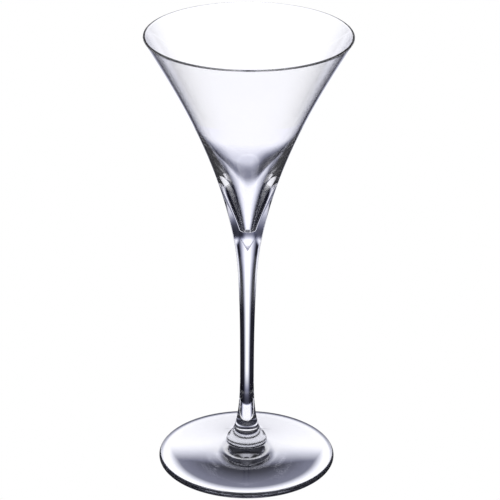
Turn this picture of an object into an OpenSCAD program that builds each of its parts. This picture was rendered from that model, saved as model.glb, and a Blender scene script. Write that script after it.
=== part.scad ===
// Stemmed cocktail glass, made the way a glassmaker makes it: a blown bowl, a drawn stem
// and a pressed foot, joined face to face while hot. Millimetres, +Z up.
// The origin is the centre of the plane that the foot rests on.

/* [Overall] */
// Height from the table to the lip
glass_h = 210; // [190:1:252]
// Diameter of the bowl at the lip
rim_d = 93; // [77:0.5:112]
// Diameter of the foot
foot_d = 82.4; // [68:0.2:99]

/* [Bowl] */
// Thickness of the wall at the lip
rim_wall = 1.1; // [0.9:0.05:1.5]
// Outward lean of the wall at the lip, in degrees from upright
lip_lean = 30; // [25:0.5:35]
// Depth of solid glass between the seat on the stem and the hollow
floor_wall = 2.1; // [1.5:0.1:3]
// Diameter of the hollow at its bottom
well_d = 4.8; // [3.8:0.1:6]
// Radius that rounds the bottom of the hollow
well_round = 1.4; // [1:0.05:1.8]
// How far the outer curve holds its lean above the seat, as a share of the bowl's height
outer_pull_low = 0.42; // [0.36:0.01:0.48]
// How far the outer curve holds its lean below the lip, as a share of the bowl's height
outer_pull_high = 0.24; // [0.18:0.01:0.3]
// Where the thick lower wall begins to thin, as a share of the way from the seat to the lip
thin_from = 0; // [0:0.01:0.1]
// Where the wall has thinned to that of the lip, as a share of the same way
thin_to = 0.5; // [0.4:0.01:0.7]

/* [Seat between bowl and stem] */
// Height of the seat above the table
seat_h = 115.4; // [108:0.2:138]
// Diameter of the glass at the seat
seat_d = 14.1; // [11.5:0.1:17]
// Outward lean of the outside at the seat, in degrees
seat_lean = 11.1; // [8:0.1:14]
// Diameter of the solid point under the bowl, where it leaves the seat
point_d = 5; // [4:0.1:6]
// Length of the solid point that sits in the stem
point_l = 8; // [6:0.1:10]

/* [Stem] */
// Diameter of the stem at its slimmest
stem_d = 6.4; // [5.3:0.1:8]
// Height of the slimmest place above the table
waist_h = 43; // [35:0.5:52]
// How far the stem stays slim above the waist, as a share of the way to the seat
slim_pull = 0.76; // [0.6:0.01:0.8]
// How far the stem holds the seat's lean below the seat, as a share of the same way
swell_pull = 0.12; // [0.05:0.01:0.2]
// How far the flare follows the stem below the waist, as a share of the flare's height
flare_pull = 1; // [0.8:0.01:1]
// How far the flare's round shoulder rises above the foot, as a share of the flare's height
shoulder_pull = 0.18; // [0.1:0.01:0.25]
// Inward lean of the shoulder where it meets the foot, in degrees from upright
shoulder_lean = 6.5; // [3:0.5:20]

/* [Foot] */
// Diameter of the stem's end where it is joined to the foot
joint_d = 19.2; // [16:0.2:23]
// Height of that joint above the table
joint_h = 9.3; // [8:0.1:11.2]
// Thickness of the foot's rounded edge
edge_t = 3; // [2.4:0.1:3.6]
// Fall of the foot's top beside the joint, in degrees
fall_in = 16; // [13:0.5:19]
// Fall of the foot's top beside its edge, in degrees
fall_out = 8; // [6:0.5:9]
// How far the top follows its fall from either end, as a share of its width
top_pull = 0.35; // [0.3:0.01:0.4]
// Width of the flat ring that the foot rests on
ring_w = 3.2; // [2.4:0.1:4]
// Height of the shallow hollow under the foot, at its middle
under_rise = 2; // [1.6:0.1:2.6]

/* [Hidden] */
steps = 36;        // straight lengths along each long curve
round_steps = 12;  // straight lengths round each small rounding
$fn = 128;

rim_r = rim_d / 2;
lip_r = rim_wall / 2;
seat_r = seat_d / 2;
point_r = point_d / 2;
well_r = well_d / 2;
well_h = seat_h + floor_wall;
joint_r = joint_d / 2;
foot_r = foot_d / 2;
edge_r = edge_t / 2;

// The middle of the rounded lip, and where the outer and inner walls run into it
lip_c = [rim_r - lip_r, glass_h - lip_r];
lip_out = lip_c + lip_r * toward(-lip_lean);
lip_in = lip_c + lip_r * toward(180 - lip_lean);

// The middle of the rounding at the bottom of the hollow, and where the wall leaves it
well_c = [well_r - well_round * cos(seat_lean), well_h + well_round];
well_out = well_c + well_round * toward(-seat_lean);

// The middle of the foot's rounded edge, and where its top runs into it
edge_c = [foot_r - edge_r, edge_r];
edge_top = edge_c + edge_r * toward(90 - fall_out);

// The sphere that hollows the underside, and the radius at which the flat ring begins
ring_in = foot_r - edge_r - ring_w;
under_r = (ring_in * ring_in + under_rise * under_rise) / (2 * under_rise);

// A step of length 1 at an angle from the radial direction
function toward(angle) = [cos(angle), sin(angle)];

// A step of length 1 upwards, leaning outwards by an angle
function leaning(angle) = [sin(angle), cos(angle)];

// The points of an arc about a centre, from one angle to another
function arc(centre, radius, from, to, count = round_steps) =
    [for (i = [0 : count]) centre + radius * toward(from + (to - from) * i / count)];

// The points of a smooth curve between two ends, drawn towards a handle at each end
function curve(start, start_handle, end_handle, end, count = steps) =
    [for (i = [0 : count])
        let (t = i / count, u = 1 - t)
        u * u * u * start + 3 * u * u * t * start_handle
            + 3 * u * t * t * end_handle + t * t * t * end];

// A share that starts and ends gently between 0 and 1
function eased(share) =
    let (part = min(max(share, 0), 1))
    part * part * (3 - 2 * part);

// The outside of the bowl, from the seat up to the lip
function bowl_outside() =
    let (seat = [seat_r, seat_h], rise = lip_out[1] - seat_h)
    curve(
        seat,
        seat + outer_pull_low * rise * leaning(seat_lean) / cos(seat_lean),
        lip_out - outer_pull_high * rise * leaning(lip_lean) / cos(lip_lean),
        lip_out
    );

// The inside of the bowl, from the lip down to the rounded bottom of the hollow:
// the outside, moved inwards by a wall that thins towards the lip
function bowl_inside() =
    let (outside = bowl_outside(), low = well_out - outside[0], high = lip_in - lip_out)
    [for (i = [steps : -1 : 0])
        let (thinned = eased((i / steps - thin_from) / (thin_to - thin_from)))
        outside[i] + (1 - thinned) * low + thinned * high];

// The flare of the stem, from its joint with the foot up to the waist
function stem_flare() =
    let (end = [joint_r, joint_h], waist = [stem_d / 2, waist_h], rise = waist_h - joint_h)
    curve(
        end,
        end + shoulder_pull * rise * leaning(-shoulder_lean),
        waist - [0, flare_pull * rise],
        waist
    );

// The swell of the stem, from the waist up to the seat
function stem_swell() =
    let (waist = [stem_d / 2, waist_h], seat = [seat_r, seat_h], rise = seat_h - waist_h)
    curve(
        waist,
        waist + [0, slim_pull * rise],
        seat - swell_pull * rise * leaning(seat_lean) / cos(seat_lean),
        seat
    );

// The top of the foot, from its rounded edge in to the joint
function foot_top() =
    let (joint = [joint_r, joint_h], width = edge_top[0] - joint_r)
    curve(
        edge_top,
        edge_top + top_pull * width * [-1, tan(fall_out)],
        joint + top_pull * width * [1, -tan(fall_in)],
        joint
    );

// The domed underside of the foot, from the middle out to the flat ring
function foot_under() =
    let (half = asin(ring_in / under_r))
    arc([0, under_rise - under_r], under_r, 90, 90 - half, steps);

// The blown bowl, solid below the hollow, with the point that seats it in the stem
module bowl() {
    color([0.80, 0.84, 0.93])
        rotate_extrude()
            polygon(concat(
                [[0, seat_h - point_l], [point_r, seat_h]],
                bowl_outside(),
                arc(lip_c, lip_r, -lip_lean, 180 - lip_lean),
                bowl_inside(),
                arc(well_c, well_round, -seat_lean, -90),
                [[0, well_h]]
            ));
}

// The drawn stem, socketed for the bowl's point and flared where it meets the foot
module stem() {
    color([0.66, 0.71, 0.84])
        rotate_extrude()
            polygon(concat(
                [[0, joint_h]],
                stem_flare(),
                stem_swell(),
                [[point_r, seat_h], [0, seat_h - point_l]]
            ));
}

// The foot: a disc that thins towards a rounded edge and rests on a flat ring
module foot() {
    color([0.73, 0.79, 0.90])
        rotate_extrude()
            polygon(concat(
                foot_under(),
                arc(edge_c, edge_r, -90, 90 - fall_out),
                foot_top(),
                [[0, joint_h]]
            ));
}

bowl();
stem();
foot();
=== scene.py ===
import math

import bmesh
import bpy
from mathutils import Matrix, Vector
from mathutils.geometry import interpolate_bezier


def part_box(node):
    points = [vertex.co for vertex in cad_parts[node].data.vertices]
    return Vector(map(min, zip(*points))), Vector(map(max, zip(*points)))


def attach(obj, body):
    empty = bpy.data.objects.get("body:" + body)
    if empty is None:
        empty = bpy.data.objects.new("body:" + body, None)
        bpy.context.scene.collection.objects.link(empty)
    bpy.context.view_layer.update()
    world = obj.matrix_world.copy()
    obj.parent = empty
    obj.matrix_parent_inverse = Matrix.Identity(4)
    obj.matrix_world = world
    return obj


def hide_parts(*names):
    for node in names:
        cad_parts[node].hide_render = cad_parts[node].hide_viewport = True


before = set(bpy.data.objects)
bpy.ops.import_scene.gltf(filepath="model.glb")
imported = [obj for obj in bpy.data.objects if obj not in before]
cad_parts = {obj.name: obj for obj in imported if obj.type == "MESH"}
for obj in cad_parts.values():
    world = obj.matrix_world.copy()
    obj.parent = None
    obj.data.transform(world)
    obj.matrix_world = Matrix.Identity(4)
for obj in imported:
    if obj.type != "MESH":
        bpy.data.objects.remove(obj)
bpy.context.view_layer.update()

mm = 0.001
white = (1, 1, 1, 1)
longSteps = 72  # straight lengths along a long curve
roundSteps = 16  # straight lengths round a small rounding
turnSteps = 192  # faces round the axis
creaseAngle = 22  # an edge that turns further than this stays sharp, in degrees
nearly = 1e-6  # lengths closer than this are the same
seamGap = 0.01 * mm  # keeps two fused faces apart, so that light meets them one by one

bowlLow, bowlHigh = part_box("bowl")
stemLow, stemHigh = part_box("stem")
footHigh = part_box("foot")[1]
rimRadius, lipHeight = bowlHigh[0], bowlHigh[2]
tipHeight = bowlLow[2]  # the end of the solid point under the bowl
seatHeight = stemHigh[2]  # the bowl sits on the stem here
jointRadius, jointHeight = stemHigh[0], stemLow[2]  # the stem stands on the foot here
footRadius = footHigh[0]


# A profile lies in the XZ plane: x is the distance from the axis, z the height.
def leaning(degrees):  # one step up, leaning outwards
    return Vector((math.tan(math.radians(degrees)), 0, 1))


def falling(degrees):  # one step outwards, falling
    return Vector((1, 0, -math.tan(math.radians(degrees))))


def curve(start, startHandle, endHandle, end):
    return interpolate_bezier(start, startHandle, endHandle, end, longSteps + 1)


def arc(centre, radius, fromDegrees, toDegrees):
    turn = math.radians(toDegrees - fromDegrees) / roundSteps
    angles = [math.radians(fromDegrees) + turn * i for i in range(roundSteps + 1)]
    return [centre + radius * Vector((math.cos(a), 0, math.sin(a))) for a in angles]


def eased(share):  # starts and ends gently between 0 and 1
    part = min(max(share, 0), 1)
    return part * part * (3 - 2 * part)


def isLevel(face, height):  # true for a flat face at that height
    return all(abs(v.co.z - height) < nearly for v in face.verts)


def isSocket(face, height):  # true for the seat at that height and the cone below it
    return all(abs(v.co.z - height) < nearly or v.co.z < height and v.co.xy.length < nearly
               for v in face.verts)


# Each seam is a material and a test that says which faces it covers.
def spinGlass(name, profile, skin, seams):
    bm = bmesh.new()
    line = []
    for spot in profile:
        if not line or (spot - line[-1].co).length > nearly:
            line.append(bm.verts.new(spot))
    edges = [bm.edges.new(pair) for pair in zip(line, line[1:])]
    bmesh.ops.spin(bm, geom=line + edges, cent=(0, 0, 0), axis=(0, 0, 1),
                   angle=2 * math.pi, steps=turnSteps, use_merge=True)
    bmesh.ops.remove_doubles(bm, verts=bm.verts, dist=nearly)
    bmesh.ops.dissolve_degenerate(bm, edges=bm.edges, dist=nearly)
    bmesh.ops.recalc_face_normals(bm, faces=bm.faces)
    for face in bm.faces:
        face.smooth = True
        covering = [i for i, (material, covers) in enumerate(seams) if covers(face)]
        face.material_index = covering[0] + 1 if covering else 0
    for edge in bm.edges:
        edge.smooth = edge.calc_face_angle(0) < math.radians(creaseAngle)
    piece = addObject(name, bm)
    for material in [skin] + [material for material, covers in seams]:
        piece.data.materials.append(material)
    return piece


def addObject(name, bm):
    mesh = bpy.data.meshes.new(name)
    bm.to_mesh(mesh)
    bm.free()
    piece = bpy.data.objects.new(name, mesh)
    bpy.context.collection.objects.link(piece)
    return piece


def newMaterial(name):
    material = bpy.data.materials.new(name)
    material.use_nodes = True
    material.node_tree.nodes.clear()
    return material, material.node_tree


def addNode(tree, kind, **settings):
    node = tree.nodes.new(kind)
    for key, value in settings.items():
        if key in node.inputs:
            node.inputs[key].default_value = value
        else:
            setattr(node, key, value)
    return node


def mapRange(tree, value, low, high, toLow=0.0, toHigh=1.0, kind="SMOOTHSTEP"):
    node = addNode(tree, "ShaderNodeMapRange", interpolation_type=kind,
                   **{"From Min": low, "From Max": high, "To Min": toLow, "To Max": toHigh})
    tree.links.new(value, node.inputs["Value"])
    return node.outputs["Result"]


def colourRamp(tree, level, stops, interpolation="LINEAR"):
    ramp = addNode(tree, "ShaderNodeValToRGB")
    ramp.color_ramp.interpolation = interpolation
    first, last = ramp.color_ramp.elements
    first.position, first.color = stops[0]
    last.position, last.color = stops[-1]
    for position, colour in stops[1:-1]:
        ramp.color_ramp.elements.new(position).color = colour
    tree.links.new(level, ramp.inputs["Fac"])
    return ramp.outputs["Color"]


def paintedEdgeShade(tree, start, colour):  # painted shade: clear where the skin is seen square on, darker where it is seen edge-on
    weight = addNode(tree, "ShaderNodeLayerWeight", Blend=0.5)
    return colourRamp(tree, weight.outputs["Facing"], [(start, white), (1.0, colour)], "EASE")


glassLook = {
    "ior": 1.52,
    "edge": (0.50, 0.50, 0.56, 1),  # painted shade along the skin, darkest where it is seen edge-on
    "edgeShadeStart": 0.45,
    "roughness": (0.0, 0.012),  # hand-finished glass is never quite even
    "waviness": 0.004,  # and never quite flat
    "patchSize": 18,  # size of both kinds of unevenness, in mm
    "patchDetail": 2.0,
    "patchSpan": (0.35, 0.65),  # the pattern's levels that take the least and most roughness
}
seamLook = {
    "pointShade": (0.35, 0.35, 0.4, 1),  # painted shade: the seam round the solid point is tinted grey where seen edge-on, drawing a soft dark line
    "pointEdgeStart": 0.6,
}
depthLook = {"colour": (0.3, 0.31, 0.38, 1), "density": 22}  # the thick foot swallows some light


def addDepth(tree, out, look):
    inside = addNode(tree, "ShaderNodeVolumeAbsorption",
                     Color=look["colour"], Density=look["density"])
    tree.links.new(inside.outputs["Volume"], out.inputs["Volume"])


def makeGlass(name, look, depth=None):
    material, tree = newMaterial(name)
    out = addNode(tree, "ShaderNodeOutputMaterial")
    shader = addNode(tree, "ShaderNodeBsdfPrincipled",
                     **{"Transmission Weight": 1.0, "IOR": look["ior"]})
    # painted shade on the glass where its skin is seen edge-on
    tree.links.new(paintedEdgeShade(tree, look["edgeShadeStart"], look["edge"]), shader.inputs["Base Color"])
    place = addNode(tree, "ShaderNodeTexCoord")
    patches = addNode(tree, "ShaderNodeTexNoise",
                      Scale=1 / (look["patchSize"] * mm), Detail=look["patchDetail"])
    tree.links.new(place.outputs["Object"], patches.inputs["Vector"])
    roughness = mapRange(tree, patches.outputs[0], *look["patchSpan"], *look["roughness"],
                         kind="LINEAR")
    tree.links.new(roughness, shader.inputs["Roughness"])
    bump = addNode(tree, "ShaderNodeBump", Strength=look["waviness"], Distance=mm)
    tree.links.new(patches.outputs[0], bump.inputs["Height"])
    tree.links.new(bump.outputs["Normal"], shader.inputs["Normal"])
    tree.links.new(shader.outputs[0], out.inputs["Surface"])
    if depth:
        addDepth(tree, out, depth)
    return material


def makeSeam(name, edge=None, edgeShadeStart=0.0, depth=None):
    material, tree = newMaterial(name)
    out = addNode(tree, "ShaderNodeOutputMaterial")
    shader = addNode(tree, "ShaderNodeBsdfTransparent")
    # the edge colour paints shade where the seam is seen edge-on
    if edge:
        tree.links.new(paintedEdgeShade(tree, edgeShadeStart, edge), shader.inputs["Color"])
    tree.links.new(shader.outputs[0], out.inputs["Surface"])
    if depth:
        addDepth(tree, out, depth)
    return material


glass = makeGlass("clearGlass", glassLook)
seam = makeSeam("fusedSeam")
pointSeam = makeSeam("pointSeam", seamLook["pointShade"], seamLook["pointEdgeStart"])
footGlass = makeGlass("footGlass", glassLook, depthLook)
footSeam = makeSeam("footSeam", depth=depthLook)
print("materials ready")

bowlShape = {
    "lipWall": 1.1, "lipLean": 30,
    "seatRadius": 7.05, "seatLean": 11.1,
    "pointRadius": 2.5,
    "outerPullLow": 0.42, "outerPullHigh": 0.24,
    "wellRadius": 2.4, "wellFloor": 2.1, "wellRound": 1.4,
    "thinFrom": 0.0, "thinTo": 0.5,  # where the wall thins, as shares of the way to the lip
}


def makeBowl(shape):
    lipRadius = shape["lipWall"] / 2 * mm
    wellRound = shape["wellRound"] * mm
    seat = Vector((shape["seatRadius"] * mm, 0, seatHeight))
    lip = arc(Vector((rimRadius - lipRadius, 0, lipHeight - lipRadius)), lipRadius,
              -shape["lipLean"], 180 - shape["lipLean"])
    rise = lip[0].z - seat.z
    outside = curve(seat, seat + shape["outerPullLow"] * rise * leaning(shape["seatLean"]),
                    lip[0] - shape["outerPullHigh"] * rise * leaning(shape["lipLean"]), lip[0])
    wellMiddle = Vector((
        shape["wellRadius"] * mm - wellRound * math.cos(math.radians(shape["seatLean"])),
        0,
        seatHeight + shape["wellFloor"] * mm + wellRound,
    ))
    well = arc(wellMiddle, wellRound, -shape["seatLean"], -90)
    thickWall, thinWall = well[0] - seat, lip[-1] - lip[0]
    inside = []
    for i, spot in enumerate(outside):
        share = (i / longSteps - shape["thinFrom"]) / (shape["thinTo"] - shape["thinFrom"])
        inside.append(spot + thickWall.lerp(thinWall, eased(share)))
    inside.reverse()
    point = [Vector((0, 0, tipHeight)), Vector((shape["pointRadius"] * mm, 0, seatHeight))]
    profile = point + outside + lip + inside + well + [Vector((0, 0, well[-1].z))]
    return spinGlass("bowlGlass", profile, glass, [
        (seam, lambda face: isLevel(face, seatHeight)),
        (pointSeam, lambda face: isSocket(face, seatHeight)),
    ])


bowl = makeBowl(bowlShape)
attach(bowl, "root")
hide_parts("bowl")
print("bowl ready")

stemShape = {
    "waistRadius": 3.2, "waistHeight": 43,
    "slimPull": 0.76, "swellPull": 0.12,
    "flarePull": 1.0, "shoulderPull": 0.18, "shoulderLean": 6.5,
}


def makeStem(shape):
    up = Vector((0, 0, 1))
    joint = Vector((jointRadius, 0, jointHeight + seamGap))
    waist = Vector((shape["waistRadius"] * mm, 0, shape["waistHeight"] * mm))
    seat = Vector((bowlShape["seatRadius"] * mm, 0, seatHeight - seamGap))
    flareRise, swellRise = waist.z - joint.z, seat.z - waist.z
    shoulder = math.radians(shape["shoulderLean"])
    inwards = Vector((-math.sin(shoulder), 0, math.cos(shoulder)))
    flare = curve(joint, joint + shape["shoulderPull"] * flareRise * inwards,
                  waist - shape["flarePull"] * flareRise * up, waist)
    swell = curve(waist, waist + shape["slimPull"] * swellRise * up,
                  seat - shape["swellPull"] * swellRise * leaning(bowlShape["seatLean"]), seat)
    socket = [Vector((bowlShape["pointRadius"] * mm, 0, seat.z)),
              Vector((0, 0, tipHeight - seamGap))]
    profile = [Vector((0, 0, joint.z))] + flare + swell + socket
    return spinGlass("stemGlass", profile, glass, [
        (seam, lambda face: isLevel(face, joint.z) or isSocket(face, seat.z)),
    ])


stem = makeStem(stemShape)
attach(stem, "root")
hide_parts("stem")
print("stem ready")

footShape = {
    "edgeThickness": 3.0, "ringWidth": 3.2, "underRise": 2.0,
    "fallIn": 16, "fallOut": 8, "topPull": 0.35,
}


def makeFoot(shape):
    edgeRadius = shape["edgeThickness"] / 2 * mm
    rise = shape["underRise"] * mm
    ringStart = footRadius - edgeRadius - shape["ringWidth"] * mm
    domeRadius = (ringStart ** 2 + rise ** 2) / (2 * rise)
    domeHalf = math.degrees(math.asin(ringStart / domeRadius))
    under = arc(Vector((0, 0, rise - domeRadius)), domeRadius, 90, 90 - domeHalf)
    edge = arc(Vector((footRadius - edgeRadius, 0, edgeRadius)), edgeRadius,
               -90, 90 - shape["fallOut"])
    joint = Vector((jointRadius, 0, jointHeight))
    pull = shape["topPull"] * (edge[-1].x - joint.x)
    top = curve(edge[-1], edge[-1] - pull * falling(shape["fallOut"]),
                joint + pull * falling(shape["fallIn"]), joint)
    profile = under + edge + top + [Vector((0, 0, jointHeight))]
    return spinGlass("footGlass", profile, footGlass, [
        (footSeam, lambda face: isLevel(face, jointHeight)),
    ])


foot = makeFoot(footShape)
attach(foot, "root")
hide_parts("foot")
print("foot ready")

# Under the foot the table carries a painted shadow.
# The glass is lit by a plain sky and a glowing table that only it can see. The table is
# bright behind the glass and far off all round, and dark between, which draws dark edges.
# Lengths are in mm, and bearings in degrees from straight behind the glass.
tableLook = {
    "size": 12000,
    "depth": 0.2,  # how far the table lies under the floor
    "shades": [(0.0, (0.005, 0.005, 0.009, 1)), (0.2, (0.155, 0.16, 0.22, 1)),
               (0.7, (0.66, 0.67, 0.76, 1)), (1.0, (1, 1, 1.05, 1))],
    "glow": (1.38, 1.16),  # strength under the foot, and beyond it
    "disc": (38.5, 41.5),  # the foot's own light ends between these distances
    "stemShadow": (9.5, 13),  # painted shadow: a small dark disc under the stem
    "shadowLevel": 0.03,  # its level, and that of the middle of the painted shadow in front
    "patch": (14, 33.5, 0.22),  # painted shadow in front of the stem, lightening outwards to this level
    "patchSoft": 3.4,  # how far its outer edge fades to either side
    "front": (-14, 8),  # and where it fades towards the back
    "beam": (5, 32),  # bearing over which the light behind the glass fades
    "beamWidens": (100, 380, 0.65, 1.02),  # between these distances, by these two factors
    "wings": (70, 115, 0.12),  # bearing over which a little comes back, and its level
    "near": (50, 100, 0.05),  # the light gathers strength outwards, from this level
    "flanks": (190, 300),  # past this distance
    "flanksBearing": (40, 52),  # and this bearing the table is bright
    "around": (600, 800),  # and past this distance it is bright all round
    "aroundLevel": 0.95,
    "far": (900, 1400, 0.95),  # it fades to this level in the distance
}


def plane(name, size, height):
    bm = bmesh.new()
    bmesh.ops.create_grid(bm, x_segments=1, y_segments=1, size=size / 2)
    bmesh.ops.translate(bm, verts=bm.verts, vec=(0, 0, height))
    piece = addObject(name, bm)
    return piece


def hideFrom(piece, *rays):
    for ray in rays:
        setattr(piece, "visible_" + ray, False)


def mathNode(tree, operation, *values):
    node = addNode(tree, "ShaderNodeMath", operation=operation)
    for i, value in enumerate(values):
        if isinstance(value, (int, float)):
            node.inputs[i].default_value = value
        else:
            tree.links.new(value, node.inputs[i])
    return node.outputs[0]


def chain(tree, operation, first, *others):  # one Math node after another
    for other in others:
        first = mathNode(tree, operation, first, other)
    return first


def axesOf(tree):  # the place on the piece, as separate x, y and z
    place = addNode(tree, "ShaderNodeTexCoord")
    axes = addNode(tree, "ShaderNodeSeparateXYZ")
    tree.links.new(place.outputs["Object"], axes.inputs[0])
    return axes.outputs


def lengthStep(tree, value, span, toLow=0.0, toHigh=1.0):
    return mapRange(tree, value, span[0] * mm, span[1] * mm, toLow, toHigh)


def bearingStep(tree, value, span, toLow=0.0, toHigh=1.0):
    return mapRange(tree, value, math.radians(span[0]), math.radians(span[1]), toLow, toHigh)


def makeFloor():
    material, tree = newMaterial("paleFloor")
    glow = addNode(tree, "ShaderNodeEmission", Color=white, Strength=1.0)
    out = addNode(tree, "ShaderNodeOutputMaterial")
    tree.links.new(glow.outputs[0], out.inputs["Surface"])
    floor = plane("floor", tableLook["size"] * mm, 0)
    floor.data.materials.append(material)
    hideFrom(floor, "transmission", "glossy")  # the glass sees the table instead


def beyondTheFoot(tree, look, bearing, distance):
    widening = mapRange(tree, distance, look["beamWidens"][0] * mm, look["beamWidens"][1] * mm,
                        *look["beamWidens"][2:], kind="LINEAR")
    beam = bearingStep(tree, mathNode(tree, "DIVIDE", bearing, widening), look["beam"], 1.0, 0.0)
    wings = bearingStep(tree, bearing, look["wings"], 0.0, look["wings"][2])
    near = lengthStep(tree, distance, look["near"], look["near"][2])
    behind = mathNode(tree, "MULTIPLY", mathNode(tree, "ADD", beam, wings), near)
    flanks = mathNode(tree, "MULTIPLY", lengthStep(tree, distance, look["flanks"]),
                      bearingStep(tree, bearing, look["flanksBearing"]))
    around = mathNode(tree, "MAXIMUM", flanks, lengthStep(tree, distance, look["around"]))
    around = mathNode(tree, "MULTIPLY", look["aroundLevel"], around)
    far = lengthStep(tree, distance, look["far"], 1.0, look["far"][2])
    return mathNode(tree, "MULTIPLY", mathNode(tree, "MAXIMUM", behind, around), far)


# Under the foot the table carries a painted shadow: a dark disc under the stem and a shade in
# front of it that lightens outwards, while the rim and the back stay bright.
def paintedShadowUnderFoot(tree, look, y, distance):
    end, soft = look["patch"][1], look["patchSoft"]
    shade = lengthStep(tree, distance, look["patch"], look["shadowLevel"], look["patch"][2])
    rim = lengthStep(tree, distance, (end - soft, end + soft))
    front = lengthStep(tree, y, look["front"])
    stemShadow = lengthStep(tree, distance, look["stemShadow"], look["shadowLevel"])
    return mathNode(tree, "MULTIPLY", chain(tree, "MAXIMUM", rim, front, shade), stemShadow)


def makeTable(look):
    material, tree = newMaterial("lightTableGlow")
    axes = axesOf(tree)
    x, y = axes["X"], axes["Y"]
    bearing = mathNode(tree, "ABSOLUTE", mathNode(tree, "ARCTAN2", x, y))
    distance = mathNode(tree, "SQRT", mathNode(
        tree, "ADD", mathNode(tree, "MULTIPLY", x, x), mathNode(tree, "MULTIPLY", y, y)))
    beyond = beyondTheFoot(tree, look, bearing, distance)
    under = paintedShadowUnderFoot(tree, look, y, distance)
    edge = lengthStep(tree, distance, look["disc"])
    level = mathNode(tree, "ADD", mathNode(tree, "MULTIPLY", beyond, edge),
                     mathNode(tree, "MULTIPLY", under, mathNode(tree, "SUBTRACT", 1.0, edge)))
    glow = addNode(tree, "ShaderNodeEmission")
    strength = lengthStep(tree, distance, look["disc"], *look["glow"])
    tree.links.new(strength, glow.inputs["Strength"])
    tree.links.new(colourRamp(tree, level, look["shades"]), glow.inputs["Color"])
    out = addNode(tree, "ShaderNodeOutputMaterial")
    tree.links.new(glow.outputs[0], out.inputs["Surface"])
    table = plane("lightTable", look["size"] * mm, -look["depth"] * mm)
    table.data.materials.append(material)
    hideFrom(table, "camera", "diffuse", "shadow")


makeFloor()
makeTable(tableLook)

# Two clear sheets of painted shade stand behind the lower bowl and behind the stem's flare,
# and darken the glass in bands and at the sides. Only light that has passed through the glass
# meets them. A band fades in between its first two heights and out between the next two, and
# ends with its strength. A side's shade first says where across the sheet it begins and where it
# is full.
shadeSheets = {
    "bowl": {"place": 60, "half": 90, "low": 70, "high": 140,
             "bands": [(101.5, 106, 110, 132, 0.36), (101.5, 106, 108, 115, 0.62)],
             "right": (2, 14, 101, 105, 112, 128, 0.88),
             "left": (10, 25, 101, 105, 112, 130, 0.6)},
    "flare": {"place": 13.5, "half": 14, "low": 7, "high": 32,
              "bands": [],
              "right": (2.5, 7, 0, 1, 24, 32, 0.97),
              "left": (2.5, 7, 0, 1, 24, 32, 0.97)},
}


def bandShade(tree, height, start, full, fade, end, strength):
    rise = lengthStep(tree, height, (start, full), 0.0, strength)
    return mathNode(tree, "MULTIPLY", rise, lengthStep(tree, height, (fade, end), 1.0, 0.0))


def sideShade(tree, across, height, start, full, *band):
    return mathNode(tree, "MULTIPLY", lengthStep(tree, across, (start, full)),
                    bandShade(tree, height, *band))


def makePaintedShadeSheet(name, look):
    material, tree = newMaterial(name)
    axes = axesOf(tree)
    x, z = axes["X"], axes["Z"]
    shades = [bandShade(tree, z, *band) for band in look["bands"]]
    shades.append(sideShade(tree, x, z, *look["right"]))
    shades.append(sideShade(tree, mathNode(tree, "MULTIPLY", x, -1.0), z, *look["left"]))
    clear = chain(tree, "MULTIPLY", *[mathNode(tree, "SUBTRACT", 1.0, s) for s in shades])
    filtered = addNode(tree, "ShaderNodeBsdfTransparent")
    tree.links.new(colourRamp(tree, clear, tableLook["shades"]), filtered.inputs["Color"])
    out = addNode(tree, "ShaderNodeOutputMaterial")
    tree.links.new(filtered.outputs[0], out.inputs["Surface"])

    halfHeight, middle = (look["high"] - look["low"]) / 2, (look["high"] + look["low"]) / 2
    bm = bmesh.new()
    bmesh.ops.create_grid(bm, x_segments=1, y_segments=1, size=1)
    bmesh.ops.scale(bm, verts=bm.verts, vec=(look["half"] * mm, halfHeight * mm, 1))
    bmesh.ops.rotate(bm, verts=bm.verts, cent=(0, 0, 0),
                     matrix=Matrix.Rotation(math.radians(90), 3, "X"))
    bmesh.ops.translate(bm, verts=bm.verts, vec=(0, look["place"] * mm, middle * mm))
    sheet = addObject(name, bm)
    sheet.data.materials.append(material)
    hideFrom(sheet, "camera", "diffuse", "glossy", "shadow")


for name, look in shadeSheets.items():
    makePaintedShadeSheet(name + "Sheet", look)

# Level of the sky that the glass sees, against the sine of the height above the horizon.
skyLook = {
    "levels": [(0.0, 0.95), (0.035, 0.80), (0.06, 0.04), (0.5, 0.05), (0.86, 0.30),
               (0.94, 0.75), (1.0, 0.80)],
    "blue": 1.08,  # how much stronger its blue is
}


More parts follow.
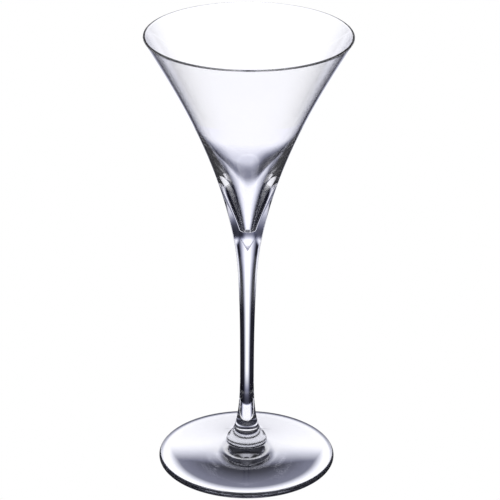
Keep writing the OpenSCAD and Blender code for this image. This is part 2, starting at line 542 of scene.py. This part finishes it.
def makeWorld(look):
    world = bpy.data.worlds.new("studio")
    bpy.context.scene.world = world
    world.use_nodes = True
    tree = world.node_tree
    tree.nodes.clear()
    direction = addNode(tree, "ShaderNodeTexCoord")
    axes = addNode(tree, "ShaderNodeSeparateXYZ")
    tree.links.new(direction.outputs["Generated"], axes.inputs[0])
    stops = [(sine, (level, level, level * look["blue"], 1)) for sine, level in look["levels"]]
    seen = addNode(tree, "ShaderNodeBackground", Color=white, Strength=1.0)
    unseen = addNode(tree, "ShaderNodeBackground")
    tree.links.new(colourRamp(tree, axes.outputs["Z"], stops), unseen.inputs["Color"])
    rays = addNode(tree, "ShaderNodeLightPath")
    mix = addNode(tree, "ShaderNodeMixShader")
    tree.links.new(rays.outputs["Is Camera Ray"], mix.inputs[0])
    tree.links.new(unseen.outputs[0], mix.inputs[1])
    tree.links.new(seen.outputs[0], mix.inputs[2])
    out = addNode(tree, "ShaderNodeOutputWorld")
    tree.links.new(mix.outputs[0], out.inputs["Surface"])


makeWorld(skyLook)
print("studio ready")

# Distance and height are in mm, pitch and roll in degrees.
cameraPlace = {
    "distance": 999.7, "height": 550.6, "pitch": 23.94, "roll": 0.33,
    "lens": 172.9, "sensor": 36, "shift": 0.0047,
}
cameraData = bpy.data.cameras.new("camera")
cameraData.lens = cameraPlace["lens"]
cameraData.sensor_width = cameraPlace["sensor"]
cameraData.shift_x = cameraPlace["shift"]
camera = bpy.data.objects.new("camera", cameraData)
bpy.context.collection.objects.link(camera)
camera.location = (0, -cameraPlace["distance"] * mm, cameraPlace["height"] * mm)
camera.rotation_mode = "ZYX"
camera.rotation_euler = (math.radians(90 - cameraPlace["pitch"]), 0,
                         math.radians(cameraPlace["roll"]))

scene = bpy.context.scene
scene.camera = camera
scene.view_settings.view_transform = "Standard"
lightBounces = 96  # light trapped in the glass needs many turns to get out
for kind in ("max_bounces", "transmission_bounces", "glossy_bounces", "transparent_max_bounces"):
    setattr(scene.cycles, kind, lightBounces)
print("camera ready")
